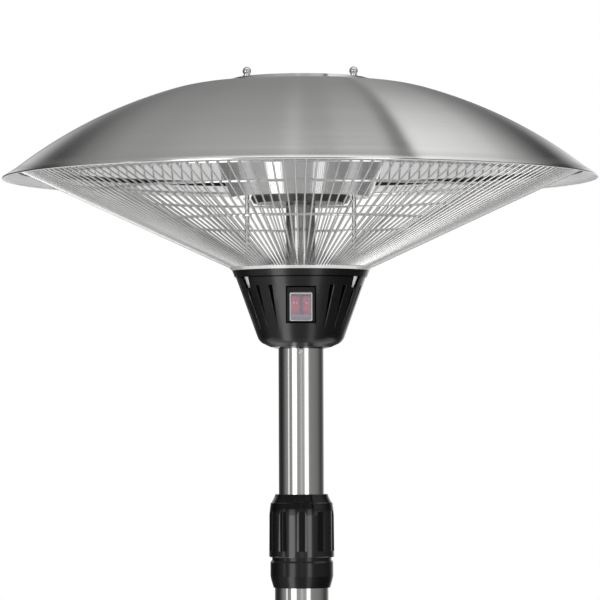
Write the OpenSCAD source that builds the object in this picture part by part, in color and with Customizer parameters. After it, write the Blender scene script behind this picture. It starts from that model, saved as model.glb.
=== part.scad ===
// Electric parasol patio heater: a domed reflector head over a wire guard and three quartz
// lamps, on a telescopic pole that a twist clamp holds, standing on a round weighted base.
// +Z is up, the switches face -Y, and the origin is on the floor under the pole.

/* [Pole] */
// Height of the top of the clamp above the floor
clamp_h = 1302; // [900:1:1500]
// Length of upper pole that shows between the clamp and the control housing
pole_out = 162; // [60:1:300]
// Outer diameter of the upper pole
upper_d = 50.8; // [44:0.2:54]
// Wall of both pole tubes
tube_t = 1.5; // [1:0.1:2]
// Length of upper pole left inside the lower pole when it is pulled out to its stop
pole_grip = 110; // [60:5:280]
// Wall of the guide bush between the two poles
bush_t = 3; // [2.5:0.1:5]
// Length of the guide bush
bush_h = 34; // [20:1:60]
// How far the upper pole can be pulled out from the height shown
pole_up = 320; // [100:5:340]

/* [Twist clamp] */
// Height of the clamp nut
clamp_nut_h = 70; // [56:1:90]
// Wall of the clamp nut's grip between its ribs
grip_t = 1.6; // [1.2:0.1:3]
// Number of grip ribs
grip_ribs = 10; // [6:1:14]
// Height that a grip rib stands proud
rib_h = 1.4; // [1:0.1:3]
// Width of a grip rib
rib_w = 7; // [4:0.5:9]
// Height of the bare collar above the grip
collar_h = 9; // [4:0.5:12]
// Wall of the threaded sleeve under the nut
sleeve_t = 3; // [2:0.1:5]

/* [Control housing] */
// Diameter of the housing's top edge
housing_top_d = 153.5; // [148:0.1:162]
// Height of the housing
housing_h = 87.2; // [84:0.2:110]
// Wall of the housing
housing_t = 3.2; // [2.8:0.1:4]
// Inward slope of the housing wall, in degrees from upright
housing_slope = 19.8; // [16:0.1:21]
// Height of the plain band round the housing's top
band_h = 7.2; // [5:0.2:14]
// Step from the band in to the wall
band_step = 1.3; // [0.5:0.1:2]
// Number of places round the wall for a flute
flute_places = 24; // [18:1:30]
// Radius of a flute at its top
flute_r = 3.6; // [2.5:0.1:4.2]
// Length of a flute
flute_l = 51; // [30:1:54]
// Width of a vent window
window_w = 15; // [10:0.5:18]
// Height of a vent window
window_h = 12; // [8:0.5:13]

/* [Switches] */
// Width of the recess round the switch
recess_w = 32.4; // [29:0.2:34]
// Length of the recess along the wall
recess_l = 42.4; // [40:0.2:46]
// Depth of the recess at its middle
recess_depth = 3.2; // [2.4:0.1:3.6]
// Width of one rocker
rocker_w = 8; // [7:0.1:8.6]
// Length of a rocker
rocker_l = 24.4; // [20:0.2:25]
// Angle that a rocker leans to each side of level
rocker_lean = 8; // [4:0.5:9]

/* [Guard] */
// Number of guard wires
wire_n = 156; // [60:6:168]
// Diameter of a guard wire
wire_d = 2; // [1.4:0.1:2.4]
// Rise of the guard wires for each unit outwards
guard_rise = 0.463; // [0.4:0.001:0.5]
// Radius that the guard wires reach
guard_r = 314.8; // [300:0.1:316]
// Radii of the guard's hoops
hoop_radii = [289, 250, 181];
// Diameter of a hoop's wire
hoop_d = 3; // [2:0.1:4]
// Height of the base ring that the wires stand on
base_ring_h = 3.3; // [2:0.1:6]
// Bore of the base ring
base_ring_bore = 120; // [100:1:124]

/* [Reflector] */
// Diameter of the reflector over its lip
rim_d = 666; // [662:1:690]
// Diameter of the crease between dome and lip
crease_d = 639; // [634:0.2:640]
// Radius of the dome's curve
dome_r = 518.8; // [480:0.1:600]
// Thickness of the reflector sheet
sheet_t = 1; // [0.8:0.1:1.2]
// Radius of the lip's curl
curl_r = 14.5; // [12:0.5:15]
// Radius at which the dome flattens into its crown
crown_r = 147; // [140:1:154]
// Diameter of the vent opening in the crown
vent_d = 110; // [60:1:116]
// Diameter of the crown cap
cap_d = 159; // [152:1:170]
// Gap between the crown and its cap
cap_gap = 4.3; // [2.4:0.1:6]

/* [Rods and post] */
// Diameter of the circle that the tie rods stand on
rod_circle_d = 136.8; // [134:0.2:138]
// Diameter of a tie rod
rod_d = 4.8; // [4:0.1:5]
// Size across the flats of a rod nut
rod_nut_flats = 7; // [6.4:0.1:7.2]
// Height of a rod nut
rod_nut_h = 2.6; // [2:0.1:3]
// Diameter of the centre post
post_d = 33; // [28:0.5:38]
// Diameter of the inner reflector's floor
drum_d = 156; // [152:1:164]
// Height of the inner reflector's floor above the rim, negative is below
drum_drop = -20; // [-30:1:-14]
// Widening of the inner reflector for each unit upwards
drum_flare = 0.41; // [0.3:0.01:0.46]
// Width of the flange round the inner reflector's top
drum_flange = 9; // [5:0.5:12]
// Diameter of the pan under the inner reflector
pan_d = 112; // [90:1:120]
// Depth of the pan
pan_h = 6.5; // [6:0.5:14]

/* [Lamps] */
// Distance of each lamp from the axis
lamp_offset = 120; // [117:0.5:128]
// Height of the lamps above the rim
lamp_rise = 39; // [30:1:46]
// Length of a lamp's quartz tube
lamp_l = 310; // [260:2:320]
// Diameter of a lamp's quartz tube
lamp_d = 10; // [8:0.5:12]
// Length of a lamp's ceramic end
end_l = 22; // [18:0.5:26]

/* [Base] */
// Diameter of the base cover
base_d = 480; // [420:5:560]
// Thickness of the base weight
weight_h = 36; // [30:1:60]
// Height of a rubber foot
foot_h = 8; // [5:0.5:14]
// Distance of the feet from the axis
foot_circle_r = 196; // [150:1:200]
// Height of the base cover's peak above its shoulder
cover_rise = 34; // [26:1:50]
// Diameter of the pole socket's plate
socket_plate_d = 124; // [116:1:140]
// Height of the pole socket's spigot
socket_spigot_h = 60; // [45:1:80]
// Bore of the cable gland
gland_bore = 8; // [6:0.2:9]
// Height of the cable gland above the floor
gland_z = 150; // [130:1:240]

/* [Hidden] */
$fn = 96;

fit = 0.1;          // radial clearance of one round piece in another
seat = 0.3;         // clearance between a curved piece and what carries it
weld = 0.05;        // clearance between two pieces that are spot welded
over = 1;           // how far a cut runs past what it cuts
thirds = [60, 180, 300];     // directions of the tie rods, counted from the front

// Poles and clamp, from the inside out
upper_r = upper_d / 2;
lower_bore_r = upper_r + bush_t + 2 * fit;
lower_r = lower_bore_r + tube_t;
collet_top_r = upper_r + 3;
sleeve_r = lower_r + fit + sleeve_t;
nut_bore_r = sleeve_r + 3 * fit;
grip_r = nut_bore_r + grip_t;
collar_r = upper_r + 4;
clamp_lip = 6;                           // thickness of the nut's lip over the collet
nut_bottom = clamp_h - clamp_nut_h;
collet_flange_z = nut_bottom + 28;       // top end of the lower pole, under the collet's flange
lower_top = collet_flange_z;
skirt_gap = 4;                           // bare sleeve between the nut and the skirt
skirt_h = 30;

// Head, from the bottom of the control housing up
pole_in = pole_up + pole_grip;           // upper pole hidden inside the lower at the height shown
housing_z = clamp_h + pole_out;
housing_top_z = housing_z + housing_h;
housing_r = housing_top_d / 2;
band_slope = 0.38;                       // inward slope of the band for each unit down
wall_slope = tan(housing_slope);
band_z = housing_h - band_h;
wall_top_r = housing_r - band_slope * band_h - band_step;
bottom_r = 14;                           // radius of the housing's lower edge
housing_inset = housing_t / cos(housing_slope);
plate_t = 2;
plate_r = housing_r - 2.6;
window_z = band_z - 0.5 - window_h;      // sill of the vent windows
flute_top = 69.5;                        // height of the flutes' upper ends
flute_end_r = 0.6;                       // radius and depth of a flute at its lower end
shield_t = 1.2;                          // plate behind each vent window
shield_w = window_w + 4;
shield_h = window_h + 4.5;
shield_top = 6.5;                        // upper edge of the plate above the window's middle
shield_n = -housing_t - 1.05;            // outer face of the plate, in the wall's frame
ring_z = housing_top_z;
ring_r = housing_r + 3.5;
ring_top = ring_z + base_ring_h;

// Guard: each wire is a straight rod from the base ring to just under the dome
wire_r = wire_d / 2;
guard_tilt = atan(guard_rise);
wire_in_r = ring_r - 0.3;
wire_in_z = ring_top + wire_r * cos(guard_tilt) + seat;
wire_l = (guard_r - wire_in_r) / cos(guard_tilt);
wire_out_z = wire_in_z + wire_l * sin(guard_tilt);
wire_tip_z = wire_out_z + wire_r * cos(guard_tilt);

// Reflector: the dome rests on the tips of the wires
dome_in_r = dome_r - sheet_t;
dome_z = wire_tip_z + 0.4 - sqrt(pow(dome_in_r, 2) - pow(guard_r, 2));
crease_r = crease_d / 2;
rim_r = rim_d / 2;
crease_slope = asin(crease_r / dome_r);
crease_z = dome_z + sqrt(pow(dome_r, 2) - pow(crease_r, 2));
lip_slope = 31;                          // degrees that the lip falls before its curl
curl_end = 56;                           // degrees at which the curl stops
curl_run = curl_r * (sin(curl_end) - sin(lip_slope));
hem_r = 1.3;
lip_flat = rim_r - hem_r - crease_r - curl_run;
curl_z = crease_z - lip_flat * tan(lip_slope);
rim_z = curl_z - curl_r * (cos(lip_slope) - cos(curl_end)) - hem_r;
shoulder_r = 202;                        // radius of the bend from dome to crown
crown_slope = 4.8;                       // degrees that the crown falls outwards
crown_seat_r = 92;                       // radius of the level seat in the crown's middle
dome_slope = asin(crown_r / dome_r);
crown_edge_z = dome_z + sqrt(pow(dome_r, 2) - pow(crown_r, 2));
flat_r = crown_r - shoulder_r * (sin(dome_slope) - sin(crown_slope));
flat_z = crown_edge_z + shoulder_r * (cos(crown_slope) - cos(dome_slope));
vent_r = vent_d / 2;

// Tie rods, drum and post
rod_circle_r = rod_circle_d / 2;
rod_r = rod_d / 2;
crown_at_rod = flat_z + (flat_r - crown_seat_r) * tan(crown_slope);
cap_curve_r = 900;
cap_skirt = 1.5;                         // width of the cap's turned-down edge
cap_drop = cap_curve_r - sqrt(pow(cap_curve_r, 2) - pow(rod_circle_r, 2));
cap_under_z = crown_at_rod + cap_gap;    // underside of the cap at the rods
cap_top_z = cap_under_z + sheet_t;
cap_slope = asin(rod_circle_r / cap_curve_r);
spacer_r = 6;
washer_r = 4.4;
washer_t = 0.8;
washer_z = cap_top_z + washer_r * tan(cap_slope) + weld;
cap_nut_z = washer_z + washer_t + weld;
ball_r = 4.8;
ball_neck_r = 3.2;
ball_z = cap_nut_z + 4.45;
rod_end_z = cap_nut_z + 2.6;
drum_t = 0.8;
drum_r = drum_d / 2;
drum_z = rim_z + drum_drop;
// Height at which the drum's flange meets the dome, by one step of its own slope
drum_h_guess = dome_z + sqrt(pow(dome_in_r, 2) - pow(drum_r + 58, 2)) - drum_z;
drum_top_r = drum_r + drum_flare * drum_h_guess;
flange_r = drum_top_r + drum_flange;
drum_top_z = dome_z + sqrt(pow(dome_in_r - seat, 2) - pow(flange_r, 2));
post_r = post_d / 2;
post_t = 1.5;
pan_r = pan_d / 2;
pan_taper = 3.5;
loom_r = 5;

// Lamps lie in a triangle round the drum
lamp_z = rim_z + lamp_rise;
lamp_r = lamp_d / 2;
lamp_glass_t = 1;
end_r = lamp_r + 1.5;
end_grip = 5;                            // length of tube held inside a ceramic end
pin_r = 2.6;
pin_l = 5;
bracket_x = lamp_l / 2 + 6;
bracket_w = 20;
bracket_t = 1.2;

// Switch panel
switch_v = -2.8;                         // the switch sits low in its recess
rocker_gap = 0.25;
rib_half = 1.9;                          // half of the rib between the rockers
rocker_x = rib_half + rocker_gap + rocker_w / 2;
window_x = rocker_x + rocker_w / 2 + rocker_gap + 0.05;
body_x = window_x + 0.8;
bezel_x = body_x + 0.5;
cover_x = bezel_x + 0.65;
window_v = rocker_l / 2 + 0.5;
body_v = window_v + 1.3;
bezel_v = body_v + 1.3;
cover_v = bezel_v + 1.05;
floor_n = -recess_depth;
bezel_t = 1.6;
pivot_n = floor_n - 2;
trunnion_r = 1.2;
body_depth = 21;
cover_rise_n = 7.2;                      // height of the cover's window over the recess floor

// Base
base_r = base_d / 2;
weight_r = base_r - 10;
weight_top = foot_h + weight_h;
cover_t = 1.2;
socket_plate_t = 5;
socket_z = weight_top + socket_plate_t;
peak_r = lower_r + 16;
peak_z = weight_top + cover_t + cover_rise;

function arc(cx, cz, r, a0, a1, n) =
    [for (i = [0:n]) let (a = a0 + (a1 - a0) * i / n) [cx + r * sin(a), cz + r * cos(a)]];
function back(points) = [for (i = [len(points) - 1:-1:0]) points[i]];
function rest(points) = [for (i = [1:len(points) - 1]) points[i]];
function wall_at(h) = wall_top_r - wall_slope * (band_z - h);

module at_thirds(radius) {
    for (a = thirds) rotate([0, 0, a]) translate([0, -radius, 0]) children();
}

module tube(r_out, r_in, h) {
    difference() {
        cylinder(r = r_out, h = h);
        translate([0, 0, -over]) cylinder(r = r_in, h = h + 2 * over);
    }
}

module hex_nut(flats, bore_r, h) {
    difference() {
        cylinder(d = flats / cos(30), h = h, $fn = 6);
        translate([0, 0, -over]) cylinder(r = bore_r, h = h + 2 * over);
    }
}

// The wall's own frame at a direction round the housing: X across, Y up the wall, Z outwards
module on_wall(direction, h) {
    rotate([0, 0, direction])
        translate([0, -wall_at(h), housing_z + h])
            rotate([90 + housing_slope, 0, 0]) children();
}

// ---- Reflector ----

// One spun sheet: a level seat, the crown's bend, the dome, then the lip curled into a round hem
module dome_section() {
    bend_x = crown_r - shoulder_r * sin(dome_slope);
    bend_z = crown_edge_z - shoulder_r * cos(dome_slope);
    curl_x = rim_r - hem_r - curl_r * sin(curl_end);
    curl_centre_z = curl_z - curl_r * cos(lip_slope);
    hem_turn = 2 * asin(hem_r / 2 / curl_r);
    hem_start = curl_end - hem_turn / 2 - 90;
    hem_stop = hem_start + 360 - asin(sheet_t / hem_r);
    curl_stop = curl_end - hem_turn;
    polygon(concat(
        [[vent_r, crown_at_rod], [crown_seat_r, crown_at_rod]],
        arc(bend_x, bend_z, shoulder_r, crown_slope, dome_slope, 6),
        rest(arc(0, dome_z, dome_r, dome_slope, crease_slope, 30)),
        arc(curl_x, curl_centre_z, curl_r, lip_slope, curl_stop, 5),
        rest(arc(rim_r - hem_r, rim_z + hem_r, hem_r, hem_start, hem_stop, 20)),
        back(arc(curl_x, curl_centre_z, curl_r - sheet_t, lip_slope, curl_stop, 5)),
        back(arc(0, dome_z, dome_in_r, dome_slope, crease_slope, 30)),
        back(arc(bend_x, bend_z, shoulder_r - sheet_t, crown_slope, dome_slope - 0.4, 6)),
        [[crown_seat_r, crown_at_rod - sheet_t], [vent_r, crown_at_rod - sheet_t]]
    ));
}

module reflector_dome() {
    color("silver") difference() {
        rotate_extrude($fn = 180) dome_section();
        at_thirds(rod_circle_r) translate([0, 0, crown_at_rod - 3]) cylinder(r = rod_r + seat, h = 6);
    }
}

// A shallow domed disc with its edge turned down to just above the crown
module crown_cap() {
    edge_r = cap_d / 2 - cap_skirt;
    edge = asin(edge_r / cap_curve_r);
    centre_z = cap_top_z + cap_drop - cap_curve_r;
    color("silver") difference() {
        rotate_extrude($fn = 180) polygon(concat(
            arc(0, centre_z, cap_curve_r, 0, edge, 10),
            [[cap_d / 2, crown_at_rod + 0.9], [cap_d / 2 - sheet_t, crown_at_rod + 0.6]],
            back(arc(0, centre_z, cap_curve_r - sheet_t, 0, edge - 0.03, 10))
        ));
        at_thirds(rod_circle_r) translate([0, 0, cap_under_z - 3]) cylinder(r = rod_r + seat, h = 8);
    }
}

module cap_spacers() {
    color("gray") at_thirds(rod_circle_r) translate([0, 0, crown_at_rod + weld])
        tube(spacer_r, rod_r + fit, cap_gap - spacer_r * tan(cap_slope) - fit - weld);
}

module cap_washers() {
    color("silver") at_thirds(rod_circle_r) translate([0, 0, washer_z]) tube(washer_r, rod_r + fit, washer_t);
}

// A ball nut: a short round neck and a ball in one, with a blind bore for the rod
module cap_nuts() {
    color("silver") at_thirds(rod_circle_r) difference() {
        union() {
            translate([0, 0, cap_nut_z]) cylinder(r = ball_neck_r, h = 2.4);
            intersection() {
                translate([0, 0, ball_z]) sphere(r = ball_r);
                translate([0, 0, cap_nut_z]) cylinder(r = ball_r + over, h = 3 * ball_r);
            }
        }
        translate([0, 0, cap_nut_z - over])
            cylinder(r = rod_r + fit, h = rod_end_z - cap_nut_z + over + weld);
    }
}

module tie_rods() {
    bottom = housing_top_z - plate_t - weld - rod_nut_h - 0.4;
    color("silver") at_thirds(rod_circle_r) translate([0, 0, bottom])
        cylinder(r = rod_r, h = rod_end_z - bottom);
}

module lock_nuts() {
    nut_h = 4;
    color("gray") at_thirds(rod_circle_r) translate([0, 0, crown_at_rod - sheet_t - weld - nut_h])
        hex_nut(8, rod_r + fit, nut_h);
}

module inner_reflector() {
    color("gainsboro") difference() {
        rotate_extrude($fn = 180) polygon([
            [0, drum_z], [drum_r, drum_z], [drum_top_r, drum_top_z - drum_t],
            [flange_r, drum_top_z - drum_t], [flange_r, drum_top_z], [drum_top_r - drum_t, drum_top_z],
            [drum_r - drum_t, drum_z + drum_t], [0, drum_z + drum_t]
        ]);
        at_thirds(rod_circle_r) translate([0, 0, drum_z - over]) cylinder(r = rod_r + seat, h = 4);
        for (a = thirds) rotate([0, 0, a - 11.3]) translate([0, -72.7, drum_z - over])
            cylinder(r = 2, h = 4);
        translate([0, 0, drum_z - over]) cylinder(r = loom_r + seat, h = 4);
    }
}

module post_pan() {
    color("dimgray") difference() {
        translate([0, 0, drum_z - weld - pan_h]) cylinder(r1 = pan_r - pan_taper, r2 = pan_r, h = pan_h);
        translate([0, 0, drum_z - weld - pan_h + 1.5])
            cylinder(r1 = pan_r - pan_taper - 1, r2 = pan_r - 1, h = pan_h);
        translate([0, 0, drum_z - pan_h - over]) cylinder(r = post_r + fit, h = 4);
    }
}

module center_post() {
    color("silver") translate([0, 0, housing_top_z + weld])
        tube(post_r, post_r - post_t, drum_z - 2 * weld - seat - housing_top_z);
}

module supply_wires() {
    loom_in = 24;
    color("dimgray") translate([0, 0, housing_top_z - loom_in])
        cylinder(r = loom_r, h = drum_z + 20 - housing_top_z + loom_in);
}

// ---- Lamps ----

module each_lamp() {
    for (a = [0, 120, 240]) rotate([0, 0, a]) translate([0, -lamp_offset, lamp_z]) children();
}

module each_lamp_end() {
    each_lamp() for (s = [0, 1]) mirror([s, 0, 0]) children();
}

module quartz_tubes() {
    color("ghostwhite") each_lamp() translate([-lamp_l / 2, 0, 0]) rotate([0, 90, 0])
        tube(lamp_r, lamp_r - lamp_glass_t, lamp_l);
}

// The coiled filament as a slim rod, carried in the tube by its support rings
module lamp_filaments() {
    rings = 7;
    color("orange") each_lamp() {
        translate([-lamp_l / 2 + 2, 0, 0]) rotate([0, 90, 0]) cylinder(r = 1.1, h = lamp_l - 4);
        for (i = [0:rings - 1]) translate([(i - (rings - 1) / 2) * lamp_l / rings, 0, 0])
            rotate([0, 90, 0]) cylinder(r = lamp_r - lamp_glass_t - fit, h = 0.6);
    }
}

module lamp_ends() {
    color("ivory") each_lamp_end() translate([lamp_l / 2 - end_grip, 0, 0]) rotate([0, 90, 0])
        difference() {
            union() {
                cylinder(r = end_r, h = end_l);
                cylinder(r = pin_r, h = end_l + pin_l);
            }
            translate([0, 0, -over]) cylinder(r = lamp_r + fit, h = end_grip + fit + over);
        }
}

// Each lamp end hangs in a steel tab that is welded to the inside of the dome
module lamp_brackets() {
    tab_x = bracket_x - bracket_t / 2;
    color("silver") intersection() {
        each_lamp_end() difference() {
            translate([tab_x, -bracket_w / 2, -end_r - 4]) cube([bracket_t, bracket_w, 90]);
            translate([tab_x - over, 0, 0]) rotate([0, 90, 0])
                cylinder(r = end_r + fit, h = bracket_t + 2 * over);
        }
        translate([0, 0, dome_z]) sphere(r = dome_in_r - seat, $fn = 360);
    }
}

module lamp_terminals() {
    color("ivory") each_lamp_end() translate([lamp_l / 2 - end_grip + end_l + seat, 0, 0])
        rotate([0, 90, 0]) tube(4.5, pin_r + fit, 11);
}

// A sleeved lead from each terminal, straight to the wall of the drum
module lamp_leads() {
    start = [lamp_l / 2 - end_grip + end_l + 6, 6.2, 2];
    lead_r = 1.6;
    reach_z = lamp_z + 22;
    reach_r = drum_r + drum_flare * (reach_z - drum_z) + 1.4;
    goal = [reach_r * sin(56), lamp_offset - reach_r * cos(56), reach_z - lamp_z];
    way = goal - start;
    color("white") each_lamp_end() translate(start)
        rotate([0, acos(way[2] / norm(way)), atan2(way[1], way[0])])
            cylinder(r = lead_r, h = norm(way), $fn = 24);
}

// ---- Guard ----

module guard_wires() {
    color("lightgray") for (i = [0:wire_n - 1]) rotate([0, 0, (i + 0.5) * 360 / wire_n])
        translate([wire_in_r, 0, wire_in_z]) rotate([0, 90 - guard_tilt, 0])
            cylinder(r = wire_r, h = wire_l, $fn = 16);
}

module guard_hoops() {
    off = wire_r + hoop_d / 2 + weld;
    color("lightgray") for (r = hoop_radii) rotate_extrude($fn = 180)
        translate([
            r - off * sin(guard_tilt),
            wire_in_z + (r - wire_in_r) * guard_rise + off * cos(guard_tilt)
        ]) circle(d = hoop_d, $fn = 24);
}

module guard_base_ring() {
    color("silver") difference() {
        translate([0, 0, ring_z + weld])
            cylinder(r1 = housing_r, r2 = ring_r, h = base_ring_h - weld, $fn = 180);
        translate([0, 0, ring_z - over]) cylinder(d = base_ring_bore, h = base_ring_h + 2 * over);
        at_thirds(rod_circle_r) translate([0, 0, ring_z - over])
            cylinder(r = rod_r + seat, h = base_ring_h + 2 * over);
    }
}

// ---- Control housing ----

boss_r = 55;         // distance of the screw bosses from the axis
boss_turns = [30, 150, 270];

module top_plate() {
    color("silver") translate([0, 0, housing_top_z - plate_t]) difference() {
        cylinder(r = plate_r, h = plate_t - weld);
        at_thirds(rod_circle_r) translate([0, 0, -over]) cylinder(r = rod_r + seat, h = plate_t + 2 * over);
        for (a = boss_turns) rotate([0, 0, a]) translate([0, -boss_r, -over])
            cylinder(r = 1.9, h = plate_t + 2 * over);
        translate([0, 0, -over]) cylinder(r = loom_r + seat, h = plate_t + 2 * over);
    }
}

module rod_nuts() {
    color("silver") at_thirds(rod_circle_r) translate([0, 0, housing_top_z - plate_t - weld - rod_nut_h])
        hex_nut(rod_nut_flats, rod_r + fit, rod_nut_h);
}

module housing_outline() {
    hole_r = upper_r + seat;
    arc_z = bottom_r * (1 - sin(housing_slope)) + 4;
    arc_x = wall_at(arc_z) - bottom_r * cos(housing_slope);
    centre_z = arc_z + bottom_r * sin(housing_slope);
    polygon(concat(
        [[hole_r, 0], [hole_r, housing_h], [housing_r, housing_h],
         [housing_r - band_slope * band_h, band_z], [wall_top_r, band_z]],
        [for (i = [0:6]) let (a = -housing_slope - i * (70 - housing_slope) / 6)
            [arc_x + bottom_r * cos(a), centre_z + bottom_r * sin(a)]],
        [[hole_r + 8.3, 1.9]]
    ));
}

module housing_hollow() {
    low = 14;
    polygon([
        [upper_r + 6, housing_t + 1], [wall_at(low) - housing_inset - 7, housing_t + 2.5],
        [wall_at(low) - housing_inset, low], [wall_at(band_z) - housing_inset, band_z],
        [housing_r - 4.2, band_z + 2], [housing_r - 4.2, housing_h - plate_t],
        [plate_r + fit, housing_h - plate_t],
        [plate_r + fit, housing_h + over], [0, housing_h + over], [0, housing_t + 1]
    ]);
}

module flutes() {
    for (i = [0:flute_places - 1]) {
        a = i * 360 / flute_places;
        under = min([for (t = thirds) abs(t - a)]) < 9;    // this flute starts under a window
        top = under ? window_z - 4 : flute_top;
        long = flute_l - (flute_top - top) / cos(housing_slope);
        // The cone's axis runs into the wall's face, so the flute is shallow all the way down
        if (min(a, 360 - a) > 25) on_wall(a, top) translate([0, 0, flute_r / 2])
            rotate([90 + asin(flute_r / 2 / long), 0, 0]) cylinder(r1 = flute_r, r2 = flute_end_r, h = long);
    }
}

module control_housing() {
    color([0.08, 0.08, 0.085]) difference() {
        union() {
            difference() {
                translate([0, 0, housing_z]) rotate_extrude($fn = 180) housing_outline();
                translate([0, 0, housing_z]) rotate_extrude($fn = 180) housing_hollow();
            }
            intersection() {
                translate([0, 0, housing_z]) rotate_extrude($fn = 180) housing_outline();
                union() {
                    on_wall(0, 47.7) translate([-recess_w / 2 - 3, -recess_l / 2 - 3, floor_n - 3])
                        cube([recess_w + 6, recess_l + 6, 12]);
                    for (a = boss_turns) rotate([0, 0, a]) translate([0, -boss_r, housing_z + 12])
                        cylinder(r = 4.2, h = housing_h - plate_t - weld - 12);
                }
            }
        }
        on_wall(0, 47.7) {
            translate([-recess_w / 2, -recess_l / 2, floor_n]) cube([recess_w, recess_l, 20]);
            translate([-body_x - 0.2, switch_v - body_v - 0.2, floor_n - 10])
                cube([2 * body_x + 0.4, 2 * body_v + 0.4, 20]);
        }
        flutes();
        for (a = thirds) rotate([0, 0, a]) {
            translate([0, -wall_at(window_z) + 8, housing_z + window_z]) rotate([90, 0, 0]) linear_extrude(25)
                polygon([
                    [-window_w / 2 + 2, 0], [window_w / 2 - 2, 0],
                    [window_w / 2, window_h], [-window_w / 2, window_h]
                ]);
        }
        for (a = boss_turns) rotate([0, 0, a]) translate([0, -boss_r, housing_top_z - 20])
            cylinder(r = 1.7, h = 30);
    }
}

// A bright plate behind each window keeps splashes off the wiring and lets warm air past
module window_shields() {
    color("silver") for (a = thirds) on_wall(a, window_z + window_h / 2)
        translate([-shield_w / 2, shield_top - shield_h, shield_n - shield_t])
            cube([shield_w, shield_h, shield_t]);
}

module housing_screws() {
    color("gray") for (a = boss_turns) rotate([0, 0, a]) translate([0, -boss_r, housing_top_z]) {
        translate([0, 0, -16]) cylinder(r = 1.6, h = 17);
        cylinder(r = 3.4, h = 2.2);
    }
}

// ---- Switches, in the frame of the recess: X across, Y up the wall, Z outwards ----

module on_switch() {
    on_wall(0, 47.7) translate([0, switch_v, 0]) children();
}

module switch_body() {
    color([0.1, 0.1, 0.1]) on_switch() difference() {
        union() {
            translate([-bezel_x, -bezel_v, floor_n + weld]) cube([2 * bezel_x, 2 * bezel_v, bezel_t]);
            translate([-body_x, -body_v, floor_n - body_depth])
                cube([2 * body_x, 2 * body_v, body_depth + 1]);
            for (x = [-6, 6], y = [-8, 0, 8]) translate([x - 0.4, y - 2.4, floor_n - body_depth - 7])
                cube([0.8, 4.8, 8]);
        }
        for (s = [-1, 1]) translate([s > 0 ? rib_half : -window_x, -window_v, pivot_n - 4.5])
            cube([window_x - rib_half, 2 * window_v, 20]);
        translate([-body_x - over, 0, pivot_n]) rotate([0, 90, 0])
            cylinder(r = trunnion_r + fit / 2, h = 2 * body_x + 2 * over);
    }
}

// A rocker leans with its lower end pressed in, on trunnions that turn in the switch body
module rocker(side) {
    half = rocker_l / 2;
    on_switch() translate([side * rocker_x, 0, pivot_n]) rotate([rocker_lean, 0, 0]) {
        rotate([90, 0, 90]) linear_extrude(rocker_w, center = true) polygon([
            [-half, 1.2], [-half + 0.5, 5.4], [-4, 4.1], [4, 4.1], [half - 0.5, 5.4], [half, 1.2],
            [7, -2.2], [-7, -2.2]
        ]);
        translate([-rocker_w / 2 - 0.65, 0, 0]) rotate([0, 90, 0])
            cylinder(r = trunnion_r, h = rocker_w + 1.3);
    }
}

module rocker_left() {
    color("red") rocker(-1);
}

module rocker_right() {
    color("red") rocker(1);
}

module switch_cover() {
    lens_x = window_x + 0.6;
    lens_v = window_v + 1.4;
    color([0.8, 0.85, 0.9, 0.5]) on_switch() difference() {
        union() {
            translate([-cover_x, -cover_v, floor_n + weld]) cube([2 * cover_x, 2 * cover_v, bezel_t + 0.9]);
            translate([-lens_x, -lens_v, floor_n + bezel_t])
                cube([2 * lens_x, 2 * lens_v, cover_rise_n - bezel_t]);
        }
        translate([-bezel_x - fit / 2, -bezel_v - fit / 2, floor_n - over])
            cube([2 * bezel_x + fit, 2 * bezel_v + fit, bezel_t + over + 2 * weld]);
        translate([-lens_x + 0.6, -lens_v + 0.8, floor_n])
            cube([2 * lens_x - 1.2, 2 * lens_v - 1.6, cover_rise_n - 0.8]);
    }
}

module tip_switch() {
    color("white") translate([-42, 22, housing_top_z - plate_t - weld - 20]) cube([20, 16, 20]);
}

module terminal_block() {
    color("ivory") difference() {
        translate([12, 25, housing_top_z - plate_t - weld - 16]) cube([34, 16, 16]);
        for (i = [0:2]) translate([17.5 + 11 * i, 24, housing_top_z - plate_t - 10]) rotate([-90, 0, 0])
            cylinder(r = 2.2, h = 18);
    }
}

// ---- Poles ----

spigot_r = upper_r - tube_t - fit;
screw_z = housing_z - 3.2;

module head_spigot() {
    color("silver") difference() {
        translate([0, 0, housing_z - 45])
            tube(spigot_r, spigot_r - 2, housing_h + 45 - plate_t - weld);
        translate([0, 0, screw_z]) rotate([90, 0, 0]) cylinder(r = 2.2, h = upper_r + 5);
    }
}

module pole_screw() {
    color("silver") translate([0, -upper_r, screw_z]) rotate([90, 0, 0]) {
        translate([0, 0, -6]) cylinder(r = 2.1, h = 7);
        difference() {
            translate([0, 0, seat]) cylinder(r1 = 2.9, r2 = 2.3, h = 1.8);
            for (a = [0, 90]) rotate([0, 0, a]) translate([-1.4, -0.35, seat + 0.9])
                cube([2.8, 0.7, 1.8]);
        }
    }
}

module upper_pole() {
    color("silver") difference() {
        translate([0, 0, clamp_h - pole_in]) tube(upper_r, upper_r - tube_t, pole_in + pole_out + 7);
        translate([0, 0, screw_z]) rotate([90, 0, 0]) cylinder(r = 2.2, h = upper_r + 5);
    }
}

module guide_bush() {
    lip = 4;
    color("dimgray") translate([0, 0, clamp_h - pole_in - lip]) difference() {
        cylinder(r = upper_r + bush_t + fit, h = bush_h + lip);
        translate([0, 0, lip - weld]) cylinder(r = upper_r + weld, h = bush_h + over);
        translate([0, 0, -over]) cylinder(r = upper_r - tube_t, h = 2 * over + bush_h);
    }
}

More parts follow.
